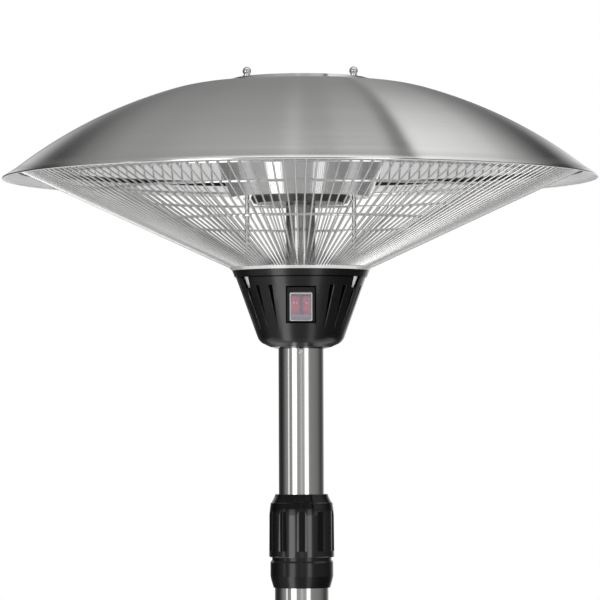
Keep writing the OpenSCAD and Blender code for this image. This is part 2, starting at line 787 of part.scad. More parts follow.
module clamp_nut() {
    out_r = grip_r + rib_h;
    top = clamp_nut_h;
    panel_half = (out_r * sin(180 / grip_ribs) - rib_w / 2) * 0.97;
    scoop_r = (pow(panel_half, 2) + pow(rib_h, 2)) / (2 * rib_h) * 0.8;
    color([0.07, 0.07, 0.07]) translate([0, 0, nut_bottom]) difference() {
        rotate_extrude($fn = 120) polygon([
            [nut_bore_r, 0], [out_r - 0.8, 0], [out_r, 1], [out_r - 0.3, top - 23], [out_r - 1, top - 16],
            [out_r - 1.9, top - 10], [out_r - 3.2, top - collar_h], [collar_r + 1.2, top - 3.6],
            [collar_r + 0.2, top - 0.6], [collar_r - 0.6, top], [upper_r + 0.4, top],
            [upper_r + 0.4, top - clamp_lip], [collet_top_r, top - clamp_lip],
            [nut_bore_r, top - collar_h - 9]
        ]);
        for (i = [0:grip_ribs - 1]) rotate([0, 0, i * 360 / grip_ribs])
            translate([0, -grip_r - scoop_r, 7]) rotate_extrude($fn = 120) polygon([
                [0, 0], [scoop_r, 0], [scoop_r, top - 26], [scoop_r - 6, top - 17], [0, top - 17]
            ]);
    }
}

// A split ring that the nut squeezes on to the upper pole
module clamp_collet() {
    nose_z = nut_bottom + clamp_nut_h - clamp_lip - seat;
    color([0.2, 0.2, 0.2]) difference() {
        union() {
            translate([0, 0, collet_flange_z - 24]) cylinder(r = lower_bore_r - fit, h = 25);
            translate([0, 0, collet_flange_z + weld]) cylinder(r = lower_r, h = 4);
            translate([0, 0, collet_flange_z + 2])
                cylinder(r1 = lower_r - 0.6, r2 = collet_top_r - 1.6, h = nose_z - collet_flange_z - 2);
        }
        translate([0, 0, collet_flange_z - 30]) cylinder(r = upper_r + fit / 2, h = 80);
        translate([-1, 0, collet_flange_z - 30]) cube([2, lower_r + 10, 80]);
    }
}

// The fixed sleeve on top of the lower pole, threaded under the nut, with a skirt below it
module clamp_sleeve() {
    low = nut_bottom - skirt_gap - skirt_h;
    color([0.07, 0.07, 0.07]) difference() {
        rotate_extrude($fn = 120) polygon([
            [lower_r, low], [lower_r + 1.6, low], [grip_r - 0.8, low + 9], [grip_r, low + 13],
            [grip_r, low + skirt_h - 2], [grip_r - 1, low + skirt_h], [sleeve_r, low + skirt_h],
            [sleeve_r, collet_flange_z - 2], [lower_r, collet_flange_z - 2]
        ]);
        translate([0, 0, low - over]) cylinder(r = lower_r + fit, h = 120);
    }
}

module lower_pole() {
    color("silver") difference() {
        translate([0, 0, socket_z + weld]) tube(lower_r, lower_bore_r, lower_top - socket_z - weld);
        translate([0, 0, gland_z]) rotate([-90, 0, 0]) cylinder(r = 8 + fit, h = lower_r + 5);
        for (s = [-1, 1]) translate([0, 0, socket_z + 20]) rotate([0, s * 90, 0])
            cylinder(r = 2.6, h = lower_r + 5);
    }
}

// ---- Base ----

module pole_socket() {
    spigot = lower_bore_r - fit;
    color("gray") difference() {
        union() {
            translate([0, 0, weight_top + weld]) cylinder(d = socket_plate_d, h = socket_plate_t - weld);
            translate([0, 0, weight_top + over]) cylinder(r = spigot, h = socket_spigot_h);
        }
        translate([0, 0, weight_top - over]) cylinder(r = spigot - 3, h = socket_spigot_h + 3 * over);
        for (a = [45:90:315]) rotate([0, 0, a]) translate([50, 0, weight_top - over])
            cylinder(r = 4.3, h = 10);
        for (s = [-1, 1]) translate([0, 0, socket_z + 20]) rotate([0, s * 90, 0])
            cylinder(r = 2.4, h = lower_r + 5);
    }
}

module socket_bolts() {
    color("silver") for (a = [45:90:315]) rotate([0, 0, a]) translate([50, 0, socket_z]) {
        translate([0, 0, -24]) cylinder(r = 4, h = 25);
        translate([0, 0, weld]) cylinder(d = 13 / cos(30), h = 5.3, $fn = 6);
    }
}

module socket_screws() {
    color("silver") for (s = [-1, 1]) translate([s * lower_r, 0, socket_z + 20]) rotate([0, s * 90, 0]) {
        translate([0, 0, -4.2]) cylinder(r = 2.3, h = 5);
        translate([0, 0, seat]) cylinder(r1 = 4, r2 = 3, h = 2.2);
    }
}

module base_weight() {
    edge = 6;
    color("dimgray") difference() {
        rotate_extrude($fn = 180) polygon([
            [0, foot_h], [weight_r - 3, foot_h], [weight_r, foot_h + 3], [weight_r, weight_top - edge],
            [weight_r - edge, weight_top], [0, weight_top]
        ]);
        for (a = [45:90:315]) rotate([0, 0, a]) translate([50, 0, weight_top - 20]) cylinder(r = 4.1, h = 30);
    }
}

module cover_outline(grow) {
    shoulder = weight_r - 4;
    polygon([
        [lower_r + 3, foot_h - 30], [base_r + grow, foot_h - 30], [base_r + grow, weight_top - 12],
        [base_r - 1.6 + grow * 0.9, weight_top - 5], [base_r - 6 + grow * 0.5, weight_top - 1 + grow * 0.8],
        [shoulder, weight_top + seat + cover_t + grow],
        [shoulder - 12, weight_top + seat + cover_t + 1 + grow],
        [shoulder * 0.6, weight_top + cover_rise * 0.42 + cover_t + grow],
        [peak_r + 26, weight_top + cover_rise * 0.84 + cover_t + grow],
        [peak_r, peak_z + grow], [lower_r + 3, peak_z + grow]
    ]);
}

module base_cover() {
    color("silver") rotate_extrude($fn = 180) intersection() {
        difference() {
            cover_outline(0);
            cover_outline(-cover_t);
        }
        translate([0, foot_h]) square([base_r + 5, 300]);
    }
}

module cover_collar() {
    color([0.07, 0.07, 0.07]) rotate_extrude($fn = 120) polygon([
        [lower_r + fit, peak_z - 6], [lower_r + 2.7, peak_z - 6], [lower_r + 2.7, peak_z + weld],
        [lower_r + 11, peak_z + weld], [lower_r + 11, peak_z + 2], [lower_r + 8, peak_z + 5],
        [lower_r + 4, peak_z + 14], [lower_r + 2, peak_z + 16], [lower_r + fit, peak_z + 16]
    ]);
}

module base_feet() {
    color([0.1, 0.1, 0.1]) for (a = [45:90:315]) rotate([0, 0, a]) translate([foot_circle_r, 0, 0])
        rotate_extrude($fn = 48) polygon([[0, 0], [17, 0], [19, 2], [16, foot_h - weld], [0, foot_h - weld]]);
}

module cable_gland() {
    color([0.1, 0.1, 0.1]) translate([0, lower_r, gland_z]) rotate([-90, 0, 0]) difference() {
        union() {
            translate([0, 0, -10]) cylinder(r = 8, h = 12);
            translate([0, 0, seat]) cylinder(d = 22 / cos(30), h = 5, $fn = 6);
            translate([0, 0, 4]) cylinder(r = 9, h = 8);
            translate([0, 0, 11]) cylinder(r1 = 9.5, r2 = 6.5, h = 9);
        }
        translate([0, 0, -20]) cylinder(d = gland_bore, h = 50);
    }
}

module gland_locknut() {
    color([0.1, 0.1, 0.1]) translate([0, lower_bore_r - 7.2, gland_z]) rotate([-90, 0, 0])
        hex_nut(19, 8 + fit, 4);
}

reflector_dome();
crown_cap();
cap_spacers();
cap_washers();
cap_nuts();
tie_rods();
lock_nuts();
inner_reflector();
post_pan();
center_post();
supply_wires();
quartz_tubes();
lamp_filaments();
lamp_ends();
lamp_brackets();
lamp_terminals();
lamp_leads();
guard_wires();
guard_hoops();
guard_base_ring();
top_plate();
rod_nuts();
control_housing();
window_shields();
housing_screws();
switch_body();
rocker_left();
rocker_right();
switch_cover();
tip_switch();
terminal_block();
head_spigot();
pole_screw();
upper_pole();
guide_bush();
clamp_nut();
clamp_collet();
clamp_sleeve();
lower_pole();
pole_socket();
socket_bolts();
socket_screws();
base_weight();
base_cover();
cover_collar();
base_feet();
cable_gland();
gland_locknut();
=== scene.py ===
"""Looks for an electric parasol patio heater, in the order that the real one is put together."""

import math

import bmesh
import bpy
from mathutils import Matrix, Vector


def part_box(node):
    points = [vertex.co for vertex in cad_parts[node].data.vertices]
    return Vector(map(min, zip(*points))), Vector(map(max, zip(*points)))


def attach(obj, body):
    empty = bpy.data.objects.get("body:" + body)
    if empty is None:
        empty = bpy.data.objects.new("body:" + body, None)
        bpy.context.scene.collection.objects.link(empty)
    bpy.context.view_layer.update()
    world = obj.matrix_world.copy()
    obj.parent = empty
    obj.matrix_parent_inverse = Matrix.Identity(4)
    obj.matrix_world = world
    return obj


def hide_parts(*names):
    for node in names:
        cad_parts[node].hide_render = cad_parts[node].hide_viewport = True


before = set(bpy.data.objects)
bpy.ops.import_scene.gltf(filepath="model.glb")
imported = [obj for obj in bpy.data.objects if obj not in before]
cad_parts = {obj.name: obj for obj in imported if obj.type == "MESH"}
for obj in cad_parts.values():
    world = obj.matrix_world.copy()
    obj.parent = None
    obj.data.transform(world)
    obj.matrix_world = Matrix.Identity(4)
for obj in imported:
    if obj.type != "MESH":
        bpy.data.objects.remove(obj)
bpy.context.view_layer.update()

# ---------------------------------------------------------------------------------------------
# Camera. A long lens four metres in front of the pole and a little below the reflector's rim,
# tipped up slightly so that the head fills the picture.
rim_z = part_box("reflector_dome")[0][2]
camera_distance = 4.0
camera_drop = 0.2603
camera_pitch = math.radians(1.8)
camera_roll = math.radians(-0.2)
camera_yaw = math.radians(0.016)
camera_data = bpy.data.cameras.new("camera")
camera_data.sensor_width = 36
camera_data.lens = 214.8
camera_data.clip_end = 60
camera = bpy.data.objects.new("camera", camera_data)
camera.location = (0, -camera_distance, rim_z - camera_drop)
camera.rotation_euler = (
    Matrix.Rotation(camera_yaw, 3, "Z")
    @ Matrix.Rotation(math.radians(90) + camera_pitch, 3, "X")
    @ Matrix.Rotation(camera_roll, 3, "Z")
).to_euler()
bpy.context.scene.collection.objects.link(camera)
bpy.context.scene.camera = camera

# ---------------------------------------------------------------------------------------------
# Studio. A white backdrop with a pale round floor, a soft lamp on each side and one overhead.
# The world also holds the strip lights and dark flags that polished metal shows as upright bands.
bpy.context.scene.view_settings.view_transform = "Standard"

# Brightness of the studio against the turn of the surface that mirrors it, in degrees
HIGH_BANDS = [
    (-90, 1.20), (-80, 1.05), (-76, 1.10), (-72, 0.74), (-68, 0.60), (-64, 0.36), (-60, 0.12),
    (-56, 0.06), (-52, 0.095), (-48, 0.19), (-44, 0.255), (-38, 0.35), (-24, 0.385), (-8, 0.38),
    (-4, 0.39), (-1.5, 0.57), (1, 0.38), (6, 0.38), (8, 0.49), (17, 0.52), (19, 0.17), (21.5, 0.08),
    (22.5, 1.02), (33, 0.89), (40, 0.75), (44, 0.54), (48, 0.37), (52, 0.195), (57, 0.055),
    (61, 0.055), (68, 0.47), (76, 1.08),
]
LEVEL_BANDS = [
    (-90, 0.95), (-87, 0.55), (-84, 0.42), (-78, 0.12), (-66, 0.035), (-58, 0.025), (-51, 0.06),
    (-42, 0.25), (-35, 0.36), (-33.5, 1.40), (-32, 1.40), (-30.5, 0.28), (-23, 0.40), (-21, 2.60),
    (-13, 2.60), (-11, 0.40), (-4, 0.42), (0, 0.66), (4, 0.42), (9.0, 0.46), (11.5, 2.40), (16.0, 2.40),
    (18.0, 0.40), (24, 0.29), (36, 0.25), (44, 0.19), (50, 0.12), (56, 0.07), (62, 0.10), (67, 0.22),
    (73, 0.60), (80, 1.20),
]
LOW_BANDS = [
    (-90, 0.95), (-84, 0.40), (-78, 0.14), (-66, 0.06), (-55, 0.05), (-50, 0.08), (-45, 0.24),
    (-38, 0.34), (-30, 0.40), (-25, 0.50), (-23, 2.60), (-15, 2.60), (-12, 0.45), (-4, 0.36),
    (0, 0.38), (8, 0.34), (10, 1.30), (16, 1.30), (18, 0.28), (26, 0.18), (34, 0.08), (42, 0.05),
    (56, 0.04), (64, 0.06), (72, 0.20), (80, 0.60), (90, 1.00),
]
flat_grey = (0.24, 0.24, 0.24)
panel_white = (1.4, 1.4, 1.4)
paper_grey = (0.72, 0.72, 0.72)
room_grey = (0.62, 0.62, 0.62)
backdrop_white = (1.0, 1.0, 1.0)

world = bpy.data.worlds.new("studio")
bpy.context.scene.world = world
world.use_nodes = True
studio = world.node_tree
studio.nodes.clear()


def feed(socket, value):
    """Links an input to a socket, or sets it to a colour or a plain number."""
    if isinstance(value, bpy.types.NodeSocket):
        socket.id_data.links.new(value, socket)
    elif isinstance(value, tuple):
        socket.default_value = (*value, 1)
    else:
        socket.default_value = value


def tree_of(values):
    """The node tree of the first socket among some values."""
    return next(value for value in values if isinstance(value, bpy.types.NodeSocket)).id_data


def calculated(operation, *values):
    """Adds a maths node on sockets and plain numbers, and gives its output."""
    node = tree_of(values).nodes.new("ShaderNodeMath")
    node.operation = operation
    for socket, value in zip(node.inputs, values):
        feed(socket, value)
    return node.outputs[0]


def softly(value, start, stop):
    """A mask that goes from 0 to 1 as a value goes from start to stop."""
    node = value.id_data.nodes.new("ShaderNodeMapRange")
    node.interpolation_type = "SMOOTHSTEP"
    node.inputs["From Min"].default_value = start
    node.inputs["From Max"].default_value = stop
    feed(node.inputs["Value"], value)
    return node.outputs["Result"]


def mixed(factor, low, high, kind="FLOAT"):
    """Adds a mix that goes from low to high as its factor rises, and gives its output."""
    node = tree_of((factor, low, high)).nodes.new("ShaderNodeMix")
    node.data_type = kind
    low_input, high_input, result = (6, 7, 2) if kind == "RGBA" else (2, 3, 0)
    feed(node.inputs["Factor"], factor)
    feed(node.inputs[low_input], low)
    feed(node.inputs[high_input], high)
    return node.outputs[result]


def parts(vector):
    """The X, Y and Z of a vector."""
    node = vector.id_data.nodes.new("ShaderNodeSeparateXYZ")
    feed(node.inputs[0], vector)
    return node.outputs


sideways, away, upward = parts(studio.nodes.new("ShaderNodeTexCoord").outputs["Generated"])
toward = calculated("SUBTRACT", 1.0, away)

# A mirror that stands off to one side is seen a little from that side, which this takes off
side_share, side_reach = 0.88, 0.065
first_turn = calculated("ARCTAN2", sideways, toward)
aside = calculated("SINE", calculated("MULTIPLY", first_turn, side_share))
aside = calculated("MULTIPLY", aside, side_reach)
turn = calculated("ARCTAN2", calculated("SUBTRACT", sideways, aside), toward)
across = calculated("MULTIPLY_ADD", turn, 1 / math.pi, 0.5)


def banded(bands, label):
    """A view of the studio that is banded from side to side, from pairs of degrees and level."""
    ramp = studio.nodes.new("ShaderNodeValToRGB")
    ramp.label = label
    stops = ramp.color_ramp.elements
    stops.remove(stops[-1])
    for i, (degrees, level) in enumerate(bands):
        place = (degrees + 90) / 180
        stop = stops.new(place) if i else stops[0]
        stop.position = place
        stop.color = (level, level, level, 1)
    feed(ramp.inputs["Fac"], across)
    return ramp.outputs["Color"]


# Towards the crown the metal lies flatter and the bands fade into one grey
low_to_level, level_to_high = (-0.30, -0.12), (0.08, 0.24)
high_to_crown = (math.radians(53), math.radians(75))
rise = calculated("ARCTAN2", calculated("MULTIPLY", upward, calculated("COSINE", turn)), toward)
high_view = banded(HIGH_BANDS, "upper studio")
level_view = banded(LEVEL_BANDS, "studio at the height of the object")
low_view = banded(LOW_BANDS, "lower studio")
upper_half = mixed(softly(rise, *high_to_crown), high_view, flat_grey, "RGBA")
lower_half = mixed(softly(upward, *low_to_level), low_view, level_view, "RGBA")
all_round = mixed(softly(upward, *level_to_high), lower_half, upper_half, "RGBA")

# A bright panel hangs above the camera, and pale paper lies low down behind the heater
panel_rise, panel_back_edge = (0.78, 0.86), (-0.04, 0.12)
paper_rise, paper_front_edge = (-0.65, -0.50), (-0.05, 0.12)
front_panel = mixed(softly(away, *panel_back_edge), panel_white, all_round, "RGBA")
with_panel = mixed(softly(upward, *panel_rise), all_round, front_panel, "RGBA")
back_paper = mixed(softly(away, *paper_front_edge), with_panel, paper_grey, "RGBA")
mirrored_studio = mixed(softly(upward, *paper_rise), back_paper, with_panel, "RGBA")


def backdrop(colour):
    """Adds a backdrop of one colour or of a view, and gives its output."""
    node = studio.nodes.new("ShaderNodeBackground")
    feed(node.inputs["Color"], colour)
    return node.outputs[0]


def either(choice, first, second):
    """The first of two backdrops where a choice is 0, and the second where it is 1."""
    node = studio.nodes.new("ShaderNodeMixShader")
    for socket, value in zip(node.inputs, (choice, first, second)):
        feed(socket, value)
    return node.outputs[0]


rays = studio.nodes.new("ShaderNodeLightPath").outputs
seen = calculated("MAXIMUM", rays["Is Camera Ray"], rays["Is Transmission Ray"])
lit_or_mirrored = either(rays["Is Glossy Ray"], backdrop(room_grey), backdrop(mirrored_studio))
world_out = studio.nodes.new("ShaderNodeOutputWorld")
feed(world_out.inputs["Surface"], either(seen, lit_or_mirrored, backdrop(backdrop_white)))

floor_radius = 5.0
bm = bmesh.new()
bmesh.ops.create_circle(bm, cap_ends=True, radius=floor_radius, segments=96)
floor_mesh = bpy.data.meshes.new("floor")
bm.to_mesh(floor_mesh)
bm.free()
floor = bpy.data.objects.new("floor", floor_mesh)
bpy.context.scene.collection.objects.link(floor)
floor.visible_glossy = False
floor_paint = bpy.data.materials.new("floor_paint")
floor_paint.use_nodes = True
paint = floor_paint.node_tree.nodes["Principled BSDF"]
feed(paint.inputs["Base Color"], (0.86, 0.86, 0.86))
feed(paint.inputs["Roughness"], 0.9)
floor_mesh.materials.append(floor_paint)

lamp_target = Vector((0, 0, 1.5))
for lamp_name, place, size, power in (
    ("key_lamp", (-2.6, -2.8, 3.4), 2.2, 60),
    ("fill_lamp", (2.8, -2.4, 2.2), 2.4, 32),
    ("top_lamp", (0.3, 0.4, 4.6), 2.6, 46),
):
    lamp_data = bpy.data.lights.new(lamp_name, "AREA")
    lamp_data.size = size
    lamp_data.energy = power
    lamp = bpy.data.objects.new(lamp_name, lamp_data)
    lamp.location = place
    lamp.rotation_euler = (lamp_target - Vector(place)).to_track_quat("-Z", "Y").to_euler()
    lamp.visible_glossy = False
    bpy.context.scene.collection.objects.link(lamp)

# ---------------------------------------------------------------------------------------------
# Reflector dome. One sheet of stainless steel spun on a lathe and brushed in rings, flattened
# at its crown and creased 13.5 mm from the edge, where a narrow lip curls down to a safe hem.
dome_radius = 0.5188
sheet = 0.001
crease_radius = 0.3195
rim_radius = 0.333
hem_radius = 0.0013
curl_radius = 0.0145
lip_fall, curl_stop = math.radians(31), math.radians(56)
hem_turn = math.radians(230)
curl_run = curl_radius * (math.sin(curl_stop) - math.sin(lip_fall))
lip_flat = rim_radius - hem_radius - crease_radius - curl_run
curl_z = rim_z + hem_radius + curl_radius * (math.cos(lip_fall) - math.cos(curl_stop))
crease_z = curl_z + lip_flat * math.tan(lip_fall)
crease_turn = math.asin(crease_radius / dome_radius)
dome_centre_z = crease_z - math.sqrt(dome_radius**2 - crease_radius**2)
shoulder_radius = 0.202
crown_edge = 0.147
crown_fall = math.radians(4.8)
crown_turn = math.asin(crown_edge / dome_radius)
crown_join = 0.004
flat_radius = crown_edge - shoulder_radius * (math.sin(crown_turn) - math.sin(crown_fall))
crown_edge_z = dome_centre_z + dome_radius * math.cos(crown_turn)
flat_z = crown_edge_z + shoulder_radius * (math.cos(crown_fall) - math.cos(crown_turn))
crown_seat = 0.092
seat_z = flat_z + (flat_radius - crown_seat) * math.tan(crown_fall)
vent_radius = 0.055
dome_centre = (0, dome_centre_z)
shoulder_centre = (
    flat_radius - shoulder_radius * math.sin(crown_fall),
    flat_z - shoulder_radius * math.cos(crown_fall),
)
curl_centre = (
    rim_radius - hem_radius - curl_radius * math.sin(curl_stop),
    curl_z - curl_radius * math.cos(lip_fall),
)
hem_centre = (rim_radius - hem_radius, rim_z + hem_radius)


def arc(centre, radius, start, stop, steps):
    """Points in (radius, height) along an arc, its angles in radians from straight up."""
    turns = [start + (stop - start) * i / steps for i in range(steps + 1)]
    return [(centre[0] + radius * math.sin(t), centre[1] + radius * math.cos(t)) for t in turns]


def piece_from(bm, name, body, material, stands_for=(), crisp=35):
    """Makes a scene piece of a finished bmesh, smooth up to an angle, and mounts it on a body."""
    mesh = bpy.data.meshes.new(name)
    bm.to_mesh(mesh)
    bm.free()
    for face in mesh.polygons:
        face.use_smooth = True
    mesh.set_sharp_from_angle(angle=math.radians(crisp))
    mesh.materials.append(material)
    piece = bpy.data.objects.new(name, mesh)
    bpy.context.scene.collection.objects.link(piece)
    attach(piece, body)
    if stands_for:
        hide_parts(*stands_for)
    return piece


def spun(profile, steps):
    """A new bmesh of a closed profile of (radius, height) that is spun round the Z axis."""
    bm = bmesh.new()
    corners = [bm.verts.new((r, 0, z)) for r, z in profile]
    edges = [bm.edges.new(pair) for pair in zip(corners, corners[1:] + corners[:1])]
    bmesh.ops.spin(
        bm, geom=corners + edges, axis=(0, 0, 1), cent=(0, 0, 0), angle=2 * math.pi,
        steps=steps, use_merge=True, use_duplicate=False,
    )
    bmesh.ops.remove_doubles(bm, verts=bm.verts, dist=1e-6)
    bmesh.ops.recalc_face_normals(bm, faces=bm.faces)
    return bm


def grain_group(name, **inputs):
    """An empty node group for a grain's tone and height, with number inputs of its own."""
    group = bpy.data.node_groups.new(name, "ShaderNodeTree")
    for socket, value in inputs.items():
        made = group.interface.new_socket(
            name=socket.replace("_", " "), in_out="INPUT", socket_type="NodeSocketFloat"
        )
        made.default_value = value
    for socket in ("Tone", "Height"):
        group.interface.new_socket(name=socket, in_out="OUTPUT", socket_type="NodeSocketFloat")
    given, found = group.nodes.new("NodeGroupInput"), group.nodes.new("NodeGroupOutput")
    return group, given.outputs, found.inputs


def noise(vector, scale, detail, roughness=0.5):
    """Adds a noise texture along some coordinates, and gives its value."""
    node = vector.id_data.nodes.new("ShaderNodeTexNoise")
    feed(node.inputs["Vector"], vector)
    feed(node.inputs["Scale"], scale)
    node.inputs["Detail"].default_value = detail
    node.inputs["Roughness"].default_value = roughness
    return node.outputs["Fac"]


def object_place(tree):
    """Object coordinates of the piece that wears a material."""
    return tree.nodes.new("ShaderNodeTexCoord").outputs["Object"]


def from_axis(x, y):
    """The distance of a point from the heater's upright axis."""
    return calculated("SQRT", calculated("MULTIPLY_ADD", y, y, calculated("MULTIPLY", x, x)))


# Grain left by a brush or belt: long fine lines that follow a turned piece round its axis or up
# it, with patches where they bite deeper
brushed, given, found = grain_group("brushed_grain", Rings=900.0, Levels=900.0, Round=3.0, Patches=0.3)
x, y, z = parts(object_place(brushed))
reach = from_axis(x, y)
along_grain = brushed.nodes.new("ShaderNodeCombineXYZ")
for socket, part in ((along_grain.inputs["X"], x), (along_grain.inputs["Y"], y)):
    feed(socket, calculated("MULTIPLY", calculated("DIVIDE", part, reach), given["Round"]))
rings = calculated("MULTIPLY", reach, given["Rings"])
feed(along_grain.inputs["Z"], calculated("MULTIPLY_ADD", z, given["Levels"], rings))
fine = noise(along_grain.outputs[0], 1.0, 4, 0.65)
wide = noise(along_grain.outputs[0], 0.05, 3)
feed(found["Tone"], mixed(given["Patches"], fine, wide))
feed(found["Height"], fine)


def add_group(surface, group, **values):
    """Adds a shared effect beside a surface, with values of its own."""
    node = surface.id_data.nodes.new("ShaderNodeGroup")
    node.node_tree = group
    for socket, value in values.items():
        feed(node.inputs[socket.replace("_", " ")], value)
    return node


def shade(name, colour, roughness, metallic=0.0, **sockets):
    """A new material, and its Principled BSDF with the sockets set."""
    material = bpy.data.materials.new(name)
    material.use_nodes = True
    surface = material.node_tree.nodes["Principled BSDF"]
    feed(surface.inputs["Base Color"], colour)
    feed(surface.inputs["Roughness"], roughness)
    feed(surface.inputs["Metallic"], metallic)
    for socket, value in sockets.items():
        feed(surface.inputs[socket.replace("_", " ")], value)
    return material, surface


def wear_grain(surface, grain, dark, light, rough, depth, strength=0.4):
    """Lets a grain vary the colour, the roughness and the height of a surface."""
    feed(surface.inputs["Base Color"], mixed(grain.outputs["Tone"], dark, light, "RGBA"))
    feed(surface.inputs["Roughness"], mixed(grain.outputs["Tone"], *rough))
    relief = surface.id_data.nodes.new("ShaderNodeBump")
    relief.inputs["Distance"].default_value = depth
    relief.inputs["Strength"].default_value = strength
    feed(relief.inputs["Height"], grain.outputs["Height"])
    feed(surface.inputs["Normal"], relief.outputs[0])


def turned_steel(name, dark, light, rough, rings, levels, grip, depth=2e-5, metallic=1.0):
    """Bright metal brushed or drawn in rings round its axis."""
    material, surface = shade(name, light, rough[0], metallic, Anisotropic=grip)
    surface.inputs["Anisotropic Rotation"].default_value = 0.25
    grain = add_group(surface, brushed, Rings=rings, Levels=levels, Round=2.5, Patches=0.45)
    wear_grain(surface, grain, dark, light, rough, depth)
    ring_way = surface.id_data.nodes.new("ShaderNodeTangent")
    ring_way.direction_type = "RADIAL"
    ring_way.axis = "Z"
    feed(surface.inputs["Tangent"], ring_way.outputs[0])
    return material


dome_outside = (
    [(vent_radius, seat_z), (crown_seat, seat_z)]
    + arc(shoulder_centre, shoulder_radius, crown_fall, crown_turn, 6)
    + arc(dome_centre, dome_radius, crown_turn + crown_join, crease_turn, 56)
    + arc(curl_centre, curl_radius, lip_fall, curl_stop, 8)
    + arc(hem_centre, hem_radius, curl_stop, curl_stop + hem_turn, 12)
)
dome_inside = (
    arc(curl_centre, curl_radius - sheet, curl_stop, lip_fall, 8)
    + arc(dome_centre, dome_radius - sheet, crease_turn, crown_turn, 56)
    + [(crown_seat, seat_z - sheet), (vent_radius, seat_z - sheet)]
)
dome_steel = turned_steel(
    "ring_brushed_steel", (0.72, 0.72, 0.71), (0.84, 0.84, 0.83), (0.16, 0.24),
    rings=800, levels=160, grip=0.97,
)
# The inside of the sheet and the lip's underside wear lighter, less metallic copies of its steel:
# painted light, so that they look brighter than the outside.
lit_inside_steel = turned_steel(
    "steel_inside_painted_light", (0.82, 0.82, 0.82), (0.92, 0.92, 0.92), (0.06, 0.14),
    rings=500, levels=100, grip=0.3, metallic=0.8,
)
lit_lip_steel = turned_steel(
    "steel_lip_painted_light", (0.93, 0.93, 0.93), (0.99, 0.99, 0.99), (0.28, 0.42),
    rings=500, levels=100, grip=0.3, metallic=0.1,
)
bm = spun(dome_outside + dome_inside, 240)
inside, lip_underside = 1, 2
lip_start = crease_radius - 0.0005
for face in bm.faces:
    middle = face.calc_center_median()
    if face.normal.dot(middle - Vector((0, 0, dome_centre_z))) < 0:
        face.material_index = inside if math.hypot(middle.x, middle.y) < lip_start else lip_underside
dome = piece_from(bm, "dome", "mast", dome_steel, ["reflector_dome"])
dome.data.materials.append(lit_inside_steel)
dome.data.materials.append(lit_lip_steel)

# ---------------------------------------------------------------------------------------------
# Crown cap. A shallow domed disc of the same steel, its edge turned down to just above the
# crown. It stands on three spacers, so warm air gets out and rain stays off the lamps.
cap_lo, cap_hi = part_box("crown_cap")
cap_corner = 0.0015
cap_curve = 0.900
cap_radius = cap_hi[0] - cap_corner
cap_centre = (0, cap_hi[2] - cap_curve)
cap_turn = math.asin(cap_radius / cap_curve)
cap_edge_z = cap_centre[1] + cap_curve * math.cos(cap_turn)
corner_turn = 0.0004
softening = 0.0004
hem_rise = 0.0003
bm = spun(
    arc(cap_centre, cap_curve, 0, cap_turn - corner_turn, 14)
    + [(cap_radius + softening, cap_edge_z - softening / 2)]
    + [(cap_hi[0], cap_lo[2] + hem_rise), (cap_hi[0] - sheet, cap_lo[2])]
    + arc(cap_centre, cap_curve - sheet, cap_turn - 1.5 * corner_turn, 0, 14),
    128,
)
piece_from(bm, "crown_cap_disc", "mast", dome_steel, ["crown_cap"], crisp=25)

# ---------------------------------------------------------------------------------------------
# Tie rods, spacers, washers and nuts. Three steel rods run from the top plate through the drum
# and the dome. A ball-headed nut on a washer closes each one over the cap.


def keep(node, material):
    """Gives a CAD node that is shown as it is a better material."""
    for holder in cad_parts[node].material_slots:
        holder.material = material


def long_steel(name, dark, light, rough, depth=1e-5):
    """Bright metal drawn or polished along Z, with faint upright lines and a few smears."""
    material, surface = shade(name, light, rough[0], 1.0)
    grain = add_group(surface, brushed, Rings=0.0, Levels=6.0, Round=160.0, Patches=0.6)
    wear_grain(surface, grain, dark, light, rough, depth, strength=0.15)
    return material


plated_steel = long_steel("plated_steel", (0.58, 0.58, 0.57), (0.78, 0.78, 0.77), (0.07, 0.16))
chrome = long_steel("bright_chrome", (0.62, 0.62, 0.61), (0.80, 0.80, 0.79), (0.03, 0.08), depth=4e-6)
keep("cap_nuts", chrome)
for node in ("cap_spacers", "cap_washers", "tie_rods", "lock_nuts"):
    keep(node, plated_steel)

# ---------------------------------------------------------------------------------------------
# Inner reflector. A mirror-bright aluminium drum, wider at the top, that hangs inside the dome
# and throws the lamps' heat down and out. The post's wires come up through a hole in its floor.
mirror_aluminium = turned_steel(
    "mirror_aluminium", (0.80, 0.80, 0.80), (0.90, 0.90, 0.90), (0.05, 0.10),
    rings=300, levels=500, grip=0.2, depth=4e-6, metallic=0.75,
)
drum_lo, drum_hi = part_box("inner_reflector")
drum_sheet = 0.0008
drum_floor = 0.078
drum_flare = 0.41
flange_width = 0.009
wire_hole = 0.0055
outer_corner, inner_corner = 0.001, 0.0006
spread_at_dome = 0.058
dome_over_drum = math.sqrt((dome_radius - sheet) ** 2 - (drum_floor + spread_at_dome) ** 2)
drum_top = drum_floor + drum_flare * (dome_centre_z + dome_over_drum - drum_lo[2])
flange_edge = drum_top + flange_width
inner_floor_z = drum_lo[2] + drum_sheet
flange_z = drum_hi[2] - drum_sheet
bm = spun(
    [
        (wire_hole, drum_lo[2]), (drum_floor - outer_corner, drum_lo[2]),
        (drum_floor, drum_lo[2] + outer_corner), (drum_top, flange_z),
        (flange_edge, flange_z), (flange_edge, drum_hi[2]), (drum_top - drum_sheet, drum_hi[2]),
        (drum_floor - drum_sheet, inner_floor_z + inner_corner),
        (drum_floor - drum_sheet - outer_corner, inner_floor_z), (wire_hole, inner_floor_z),
    ],
    192,
)
piece_from(bm, "drum", "mast", mirror_aluminium, ["inner_reflector"])
